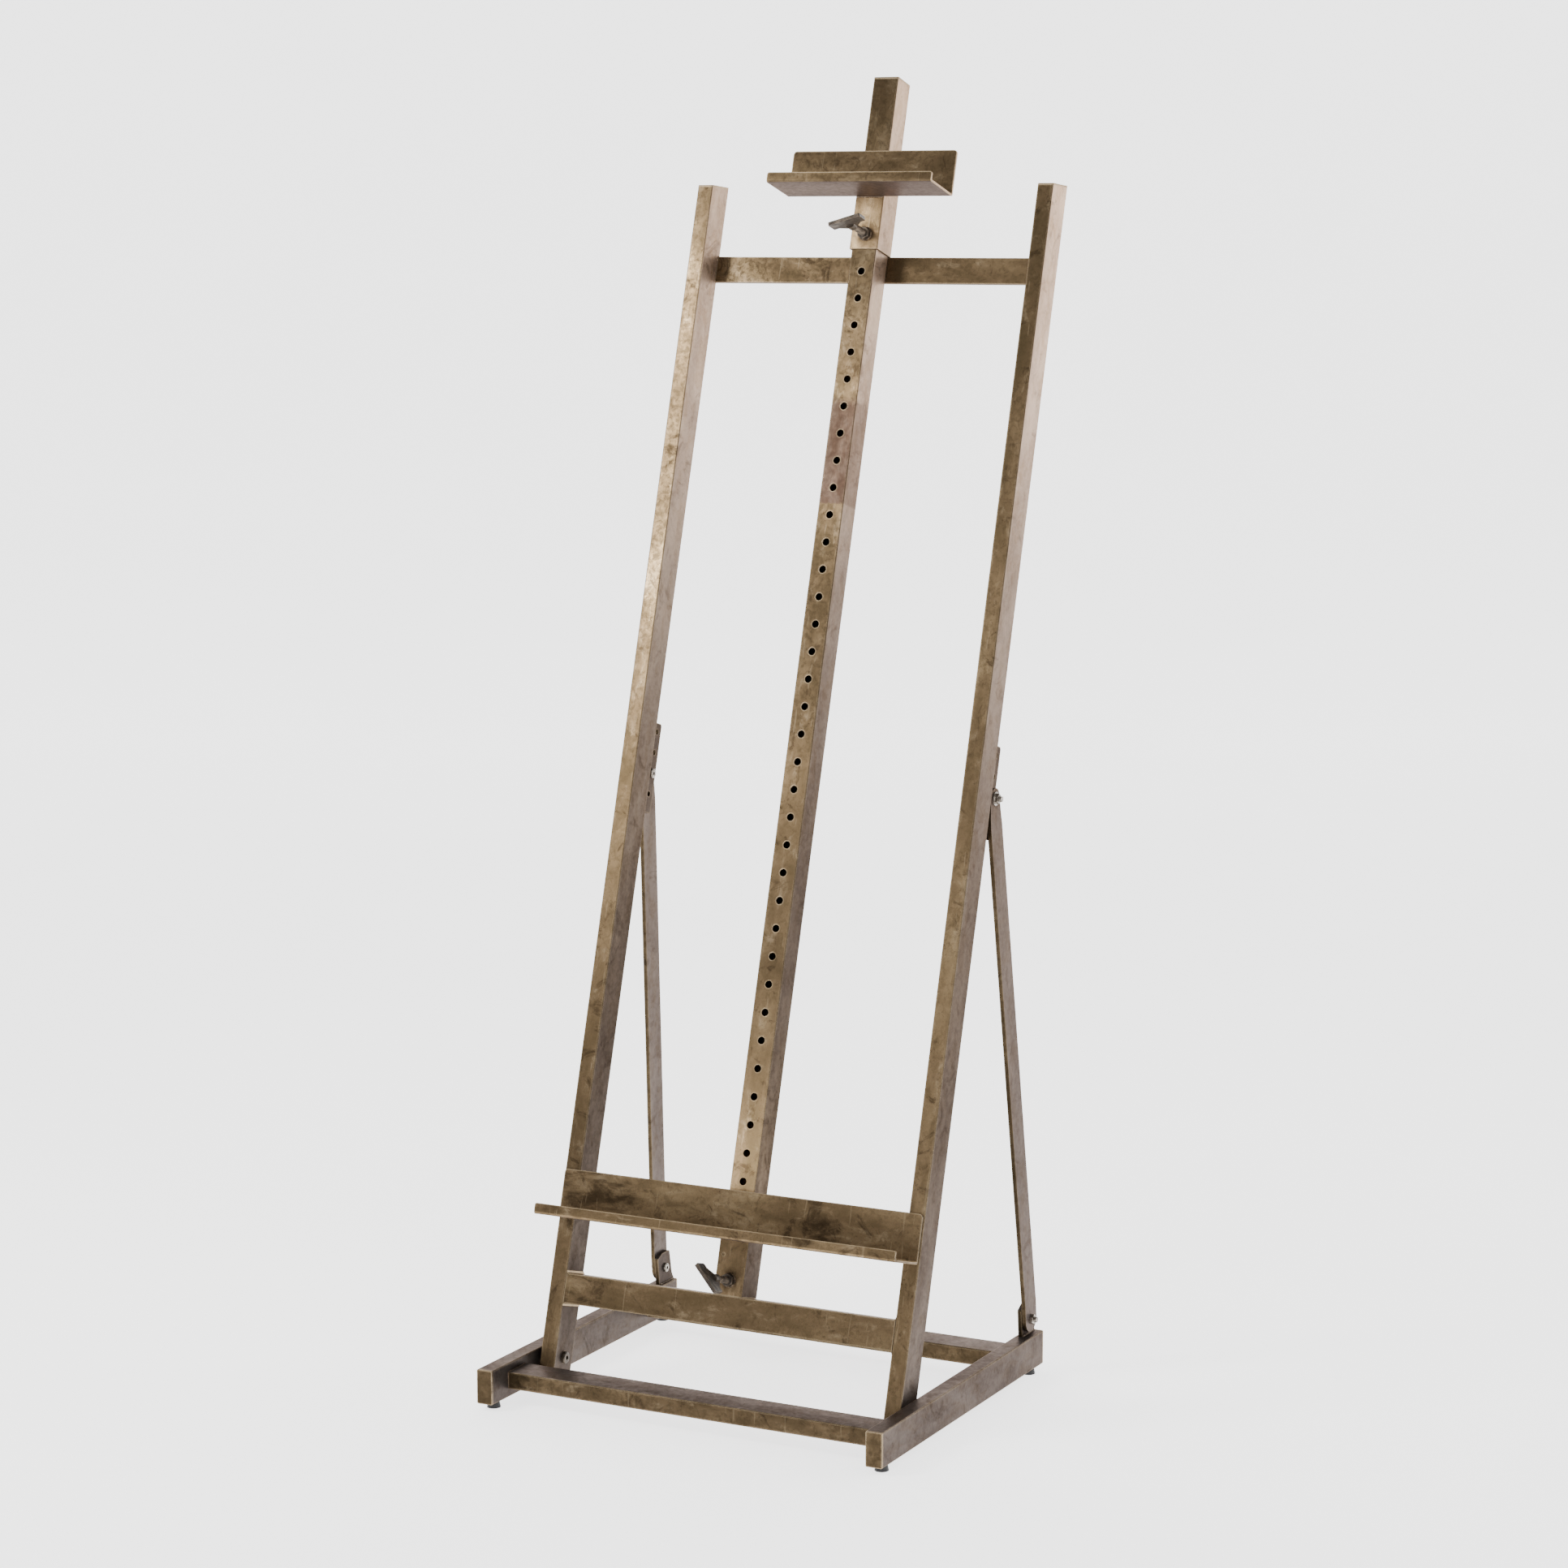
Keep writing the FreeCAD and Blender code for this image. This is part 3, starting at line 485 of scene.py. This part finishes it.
def gunmetal():
    g = Graph("gunmetal")
    wear = g.noise(g.coordinates, scale=95.0, detail=7.0, roughness=0.7, distortion=0.5)
    fine = g.noise(g.coordinates, scale=900.0, detail=4.0, roughness=0.65)
    colour = g.ramp(wear, ((0.30, (0.022, 0.018, 0.014)), (0.50, (0.062, 0.049, 0.038)),
                           (0.72, (0.150, 0.118, 0.086))))
    rubbed = g.steps(wear, 0.35, 0.6, start=0.2, end=0.85)
    corner = g.math("MULTIPLY", g.steps(g.edges(1.2 * MM), 0.03, 0.2), rubbed)
    colour = g.mix(corner, colour, (0.26, 0.19, 0.125))
    relief = g.math("ADD", wear, g.math("MULTIPLY", fine, 0.5))
    normal = g.bump(relief, strength=0.3, distance=0.3 * MM)
    return g.finish(colour, g.steps(wear, 0.3, 0.7, start=0.52, end=0.34), normal, metallic=0.7)


def foot_plastic():
    g = Graph("foot_plastic")
    grain = g.noise(g.coordinates, scale=1300.0, detail=4.0, roughness=0.6)
    dust = g.noise(g.coordinates, scale=120.0, detail=5.0, roughness=0.6)
    dusty = g.steps(dust, 0.5, 0.75, start=0.0, end=0.35)
    colour = g.mix(dusty, (0.014, 0.014, 0.015), (0.060, 0.056, 0.052))
    normal = g.bump(grain, strength=0.35, distance=0.15 * MM)
    return g.finish(colour, g.steps(grain, 0.3, 0.7, start=0.62, end=0.48), normal)


def stage_paper():
    g = Graph("stage_paper")
    tone = g.noise(g.coordinates, scale=1.5, detail=2.0, roughness=0.5)
    colour = g.mix(g.steps(tone, 0.3, 0.7), (0.90, 0.90, 0.90), (0.93, 0.93, 0.93))
    g.shader.inputs["Emission Color"].default_value = (*WHITE, 1.0)
    g.shader.inputs["Emission Strength"].default_value = FLOOR_GLOW
    return g.finish(colour, 0.9, specular=0.1)


MATERIALS = {
    "upright": antique_brass("brass_upright", "Z", LEFT_LIGHT_AND_PATINA, 0.31, side_lightness=0.68),
    "upright_right": antique_brass("brass_upright_right", "Z", RIGHT_LIGHT_AND_PATINA, 2.71),
    "mast": antique_brass("brass_mast", "Z", MAST_LIGHT_AND_PATINA, 4.13, side_lightness=0.78, banded=True),
    "sleeves": antique_brass("brass_sleeves", "Z", SLEEVE_LIGHT_AND_PATINA, 7.77, side_lightness=0.75,
                             dark_patches=NUT_DARK_PATCHES),
    "bars": antique_brass("brass_bars", "X", BAR_LIGHT_AND_PATINA, 6.47),
    "tray": antique_brass("brass_tray", "X", LEDGE_LIGHT_AND_PATINA, 8.91, dark_patches=TRAY_DARK_PATCHES),
    "ledge": antique_brass("brass_ledge", "X", LEDGE_LIGHT_AND_PATINA, 3.37),
    "rails": antique_brass("brass_rails", "Y", LEVEL, 5.23, leaning=False, lightness=0.40,
                           side_lightness=0.42),
    "crossbars": antique_brass("brass_crossbars", "X", LEVEL, 7.19, leaning=False, lightness=0.42,
                               side_lightness=0.52),
    "plates": antique_brass("brass_plates", "Z", LEVEL, 9.77, leaning=False, lightness=0.30,
                            side_lightness=0.28, wear=0.35),
    "struts": antique_brass("brass_struts", "Z", LEVEL, 1.93, leaning=False, lightness=0.30,
                            side_lightness=0.50, wear=0.15),
    "steel": plated_steel(),
    "gunmetal": gunmetal(),
    "plastic": foot_plastic(),
    "weld": weld_metal(),
}

# ---- which CAD nodes wear which finish; every other node is plated steel ----
FINISHES = {
    "upright": ["left_upright", "upright_top_caps", "upright_end_plugs"],
    "upright_right": ["right_upright"],
    "mast": ["mast", "mast_cap"],
    "sleeves": ["tray_sleeve", "top_sleeve"],
    "bars": ["lower_crossbar", "upper_crossbar"],
    "tray": ["tray_shelf"],
    "ledge": ["top_ledge"],
    "rails": ["left_base_rail", "right_base_rail", "rail_end_caps"],
    "crossbars": ["front_crossbar", "rear_crossbar"],
    "plates": ["left_strut_lug", "right_strut_lug", "left_tilt_plate", "right_tilt_plate"],
    "struts": ["left_strut", "right_strut"],
    "plastic": ["front_left_foot", "front_right_foot", "rear_left_foot", "rear_right_foot"],
    "gunmetal": ["tray_clamp_nut", "tray_clamp_bar", "tray_clamp_stud", "top_clamp_nut",
                 "top_clamp_bar", "top_clamp_stud", "frame_pivot_bolts"],
}


def dress(item, material):
    item.data.materials.clear()
    item.data.materials.append(material)


for node_name, node in frame["nodes"].items():
    finish_name = next((finish for finish, nodes in FINISHES.items() if node_name in nodes), "steel")
    dress(node, MATERIALS[finish_name])


# ---- mesh pieces ----
def piece(name, vertices, faces, material, body):
    mesh = bpy.data.meshes.new(name)
    mesh.from_pydata(vertices, [], faces)
    mesh.validate()
    mesh.shade_smooth()
    item = bpy.data.objects.new(name, mesh)
    bpy.context.scene.collection.objects.link(item)
    dress(item, material)
    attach(item, body)
    return item


def joined(parts):
    """One list of vertices and one of faces from several meshes."""
    vertices = []
    faces = []
    for more, more_faces in parts:
        faces += [tuple(index + len(vertices) for index in face) for face in more_faces]
        vertices += more
    return vertices, faces


def tube_faces(rings, sides, closed):
    """Faces between rings of vertices, joined end to end or capped."""
    faces = []
    for ring in range(rings if closed else rings - 1):
        here = ring * sides
        there = (ring + 1) % rings * sides
        for side in range(sides):
            turn = (side + 1) % sides
            faces.append((here + side, here + turn, there + turn, there + side))
    if not closed:
        faces.append(tuple(reversed(range(sides))))
        faces.append(tuple(range((rings - 1) * sides, rings * sides)))
    return faces


def across(direction):
    """Two unit vectors square to a direction and to each other."""
    upright = abs(direction.z) >= 0.9
    first = direction.cross(Vector((1, 0, 0)) if upright else Vector((0, 0, 1))).normalized()
    return first, direction.cross(first).normalized()


def polar(centre, first, second, radius, turn):
    return centre + first * (radius * math.cos(turn)) + second * (radius * math.sin(turn))


def circle(centre, axis, radius, count):
    first, second = across(axis)
    return [polar(centre, first, second, radius, 2 * math.pi * i / count) for i in range(count)]


def bead_points(path, step, closed):
    """Points along a path, no further apart than about one step."""
    points = []
    for index in range(len(path) if closed else len(path) - 1):
        start = path[index]
        end = path[(index + 1) % len(path)]
        cuts = max(1, round((end - start).length / step))
        points += [start.lerp(end, cut / cuts) for cut in range(cuts)]
    if not closed:
        points.append(path[-1])
    return points


def bead_mesh(path, radius, closed):
    """Lumpy weld bead along a path, as overlapping ripples."""
    points = bead_points(path, radius * BEAD_STEP, closed)
    last = len(points) - 1
    vertices = []
    for index, point in enumerate(points):
        following = points[(index + 1) % len(points)] if closed or index < last else point
        before = points[index - 1] if closed or index > 0 else point
        first, second = across((following - before).normalized())
        ripple = BEAD_MEAN + BEAD_RIPPLE * math.cos(index * math.pi / 2)
        ripple += RANDOM.uniform(-RIPPLE_JITTER, RIPPLE_JITTER)
        if not closed and index in (0, last):
            ripple *= BEAD_END
        for side in range(BEAD_SIDES):
            reach = radius * ripple * (1 + RANDOM.uniform(-SIDE_JITTER, SIDE_JITTER))
            vertices.append(polar(point, first, second, reach, 2 * math.pi * side / BEAD_SIDES))
    return vertices, tube_faces(len(points), BEAD_SIDES, closed)


def beads(name, paths, radius, body, closed=False):
    vertices, faces = joined(bead_mesh(path, radius, closed) for path in paths)
    item = piece(name, vertices, faces, MATERIALS["weld"], body)


def thread_mesh(start, axis, length, radius):
    """Screw thread as one skin, its crest winding along the shaft."""
    rings = max(3, round(length / THREAD_PITCH * THREAD_STEPS)) + 1
    first, second = across(axis)
    vertices = []
    for ring in range(rings):
        along = length * ring / (rings - 1)
        for side in range(THREAD_SIDES):
            share = side / THREAD_SIDES
            phase = (along / THREAD_PITCH - share) % 1.0
            reach = radius - THREAD_DEPTH * (1 - abs(2 * phase - 1))
            if ring in (0, rings - 1):
                reach = radius - THREAD_DEPTH
            vertices.append(polar(start + axis * along, first, second, reach, 2 * math.pi * share))
    return vertices, tube_faces(rings, THREAD_SIDES, False)


# ---- welds ----
def sleeve_welds(sleeve, sheet, body, label):
    """Where the bent sheet meets its sleeve: a bead under the sheet and one down each side."""
    edge = span(sleeve, RIGHT)[1]
    half = edge - UNDER_END
    face = span(sleeve, BACK)[0]
    low = span(sheet, UP)[0]
    high = min(span(sleeve, UP)[1], span(sheet, UP)[1]) - BEAD_INSET
    under = [on_frame(x, face - UNDER_OFFSET, low + UNDER_OFFSET) for x in (-half, half)]
    sides = [[on_frame(x, face + SIDE_SINK, s) for s in (low + SIDE_START, high)] for x in (-edge, edge)]
    beads(label + "_under_weld", [under], UNDER_BEAD, body)
    beads(label + "_side_welds", sides, SIDE_BEAD, body)


def nut_weld(nut, body, label):
    low, high = span(nut, UP)
    centre = on_frame(0, span(nut, BACK)[1] - NUT_SINK, middle(nut))
    ring = circle(centre, OUT, (high - low) / 2 - NUT_RIM, RING_SIDES)
    beads(label + "_nut_weld", [ring], NUT_BEAD, body, closed=True)


def upper_bar_welds():
    """Round three sides of each end of the upper bar."""
    low, high = span("upper_crossbar", UP)
    face, rear = span("upper_crossbar", BACK)
    end = span("upper_crossbar", RIGHT)[1]
    sunk = rear - BAR_REAR_SINK
    paths = []
    for x in (-end, end):
        paths.append([on_frame(x, face, low), on_frame(x, face, high)])
        paths.append([on_frame(x, face, high), on_frame(x, rear, high)])
        paths.append([on_frame(x, sunk, low), on_frame(x, sunk, high)])
    beads("upper_bar_welds", paths, BAR_BEAD, "frame")


def tilt_plate_welds():
    paths = []
    for plate in ("left_tilt_plate", "right_tilt_plate"):
        low, high = span(plate, UP)
        d = span(plate, BACK)[0] + PLATE_SINK
        for x in span(plate, RIGHT):
            paths.append([on_frame(x, d, low + BEAD_INSET), on_frame(x, d, high - BEAD_INSET)])
    beads("tilt_plate_welds", paths, PLATE_BEAD, "frame")


def lug_welds():
    paths = []
    rail_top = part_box("left_base_rail")[1][2]
    for lug in ("left_strut_lug", "right_strut_lug"):
        low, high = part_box(lug)
        foot = [vertex.co.y for vertex in frame["nodes"][lug].data.vertices if vertex.co.z < rail_top + MM]
        start = min(foot) + MM
        end = max(foot) - BEAD_INSET
        for x in (low[0], high[0]):
            paths.append([Vector((x, start, rail_top)), Vector((x, end, rail_top))])
    beads("strut_lug_welds", paths, LUG_BEAD, "base")


def crossbar_welds():
    """Along the top and up both sides of each crossbar's ends."""
    paths = []
    for bar in ("front_crossbar", "rear_crossbar"):
        low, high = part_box(bar)
        top = high[2] - CROSSBAR_SINK
        for x in (low[0], high[0]):
            paths.append([Vector((x, low[1] + MM, top)), Vector((x, high[1] - MM, top))])
            for y in (low[1] + CROSSBAR_SINK, high[1] - CROSSBAR_SINK):
                paths.append([Vector((x, y, low[2] + MM)), Vector((x, y, high[2] - MM))])
    beads("crossbar_welds", paths, CROSSBAR_BEAD, "base")


# ---- screw threads ----
def turned_tip(point, radius):
    """Plain tip that is turned down from the thread, with a bevelled end."""
    vertices = []
    for share, along in TIP_RINGS:
        vertices += circle(point + OUT * (TIP_LENGTH * along), OUT, radius * share, THREAD_SIDES)
    return vertices, tube_faces(len(TIP_RINGS), THREAD_SIDES, False)


def stud_thread(stud, body, label):
    """Threaded stud in place of the plain one, with its turned-down tip."""
    end, tip = span(stud, BACK)
    radius = span(stud, RIGHT)[1]
    s = middle(stud)
    thread = thread_mesh(on_frame(0, tip - TIP_OVERLAP, s), OUT, tip - TIP_OVERLAP - end, radius)
    vertices, faces = joined([thread, turned_tip(on_frame(0, tip, s), radius * TIP_SHARE)])
    item = piece(label + "_clamp_thread", vertices, faces, MATERIALS["gunmetal"], body)
    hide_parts(stud)


def bolt_end_threads():
    """Thread crests on the bolt ends that stand out past the strut nuts."""
    swing = Vector(joint("left_strut_swing")["pos_m"])
    base_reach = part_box("strut_base_bolts")[1][0]
    ends = {"base": [(swing, base_reach, -1), (swing, base_reach, 1)]}
    for side, strut in ((-1, "left_strut"), (1, "right_strut")):
        low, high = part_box(strut + "_top_nut")
        centre = Vector((0, (low[1] + high[1]) / 2, (low[2] + high[2]) / 2))
        ends[strut] = [(centre, max(abs(low[0]), abs(high[0])), side)]
    for body, places in ends.items():
        threads = []
        for centre, reach, side in places:
            start = Vector((side * (reach - BOLT_END), centre.y, centre.z))
            threads.append(thread_mesh(start, RIGHT * side, BOLT_THREAD_LENGTH, BOLT_THREAD_RADIUS))
        vertices, faces = joined(threads)
        item = piece(body + "_bolt_threads", vertices, faces, MATERIALS["steel"], body)


# ---- rims of the mast holes ----
def hole_centres(face):
    """Heights of the holes, from the vertices on the mast's front face that ring each one."""
    low, high = span("mast", UP)
    reaches = []
    for vertex in frame["nodes"]["mast"].data.vertices:
        offset = vertex.co - PIVOT
        reach = offset.dot(UP)
        on_face = abs(offset.dot(BACK) - face) < ON_FACE
        if on_face and abs(vertex.co.x) < HOLE_LINE and low + MM < reach < high - MM:
            reaches.append(reach)
    groups = []
    for reach in sorted(reaches):
        if groups and reach - groups[-1][0] < HOLE_SPREAD:
            groups[-1].append(reach)
        else:
            groups.append([reach])
    return [(group[0] + group[-1]) / 2 for group in groups]


def rim_mesh(face, s):
    vertices = []
    for radius, d in RIM_RINGS:
        vertices += circle(on_frame(0, face + d * MM, s), OUT, radius * MM, RIM_SIDES)
    end_caps = 2
    return vertices, tube_faces(len(RIM_RINGS), RIM_SIDES, False)[:-end_caps]


def hole_rims():
    face = span("mast", BACK)[0]
    vertices, faces = joined(rim_mesh(face, s) for s in hole_centres(face))
    item = piece("mast_hole_rims", vertices, faces, MATERIALS["mast"], "frame")


sleeve_welds("tray_sleeve", "tray_shelf", "tray", "tray")
sleeve_welds("top_sleeve", "top_ledge", "top_holder", "ledge")
nut_weld("tray_clamp_nut", "tray", "tray")
nut_weld("top_clamp_nut", "top_holder", "ledge")
upper_bar_welds()
tilt_plate_welds()
lug_welds()
crossbar_welds()
stud_thread("tray_clamp_stud", "tray_clamp_screw", "tray")
stud_thread("top_clamp_stud", "top_clamp_screw", "ledge")
bolt_end_threads()
hole_rims()


# ---- floor, light and camera ----
def cyclorama():
    """Pale floor that sweeps up into a wall behind the easel."""
    profile = [(-FLOOR_FRONT, 0.0), (FLOOR_BACK, 0.0)]
    for step in range(1, SWEEP_STEPS + 1):
        turn = math.pi / 2 * step / SWEEP_STEPS
        profile.append((FLOOR_BACK + FLOOR_RISE * math.sin(turn), FLOOR_RISE * (1 - math.cos(turn))))
    profile.append((FLOOR_BACK + FLOOR_RISE, WALL_TOP))
    vertices = [(side * FLOOR_HALF, y, z) for y, z in profile for side in (-1, 1)]
    faces = [(2 * i, 2 * i + 1, 2 * i + 3, 2 * i + 2) for i in range(len(profile) - 1)]
    mesh = bpy.data.meshes.new("floor")
    mesh.from_pydata(vertices, [], faces)
    mesh.shade_smooth()
    floor = bpy.data.objects.new("floor", mesh)
    bpy.context.scene.collection.objects.link(floor)
    floor.rotation_euler = (0, 0, math.radians(CAMERA_TURN))
    dress(floor, stage_paper())


def soft_light(name, place, target, size, watts, colour):
    light = bpy.data.lights.new(name, "AREA")
    light.shape = "RECTANGLE"
    light.size, light.size_y = size
    light.energy = watts
    light.color = colour
    item = bpy.data.objects.new(name, light)
    bpy.context.scene.collection.objects.link(item)
    item.location = place
    item.rotation_euler = (Vector(target) - Vector(place)).to_track_quat("-Z", "Y").to_euler()


def studio():
    world = bpy.data.worlds.new("studio")
    bpy.context.scene.world = world
    world.use_nodes = True
    background = world.node_tree.nodes["Background"]
    background.inputs["Color"].default_value = (*WHITE, 1.0)
    background.inputs["Strength"].default_value = WORLD_GLOW
    for light in LIGHTS:
        soft_light(*light)


def camera():
    data = bpy.data.cameras.new("camera")
    data.sensor_width = CAMERA_SENSOR
    data.lens = CAMERA_LENS
    data.clip_end = CAMERA_REACH
    item = bpy.data.objects.new("camera", data)
    bpy.context.scene.collection.objects.link(item)
    item.location = CAMERA_PLACE
    item.rotation_euler = (math.radians(90 + CAMERA_DROP), 0, math.radians(CAMERA_TURN))
    bpy.context.scene.camera = item


cyclorama()
studio()
camera()
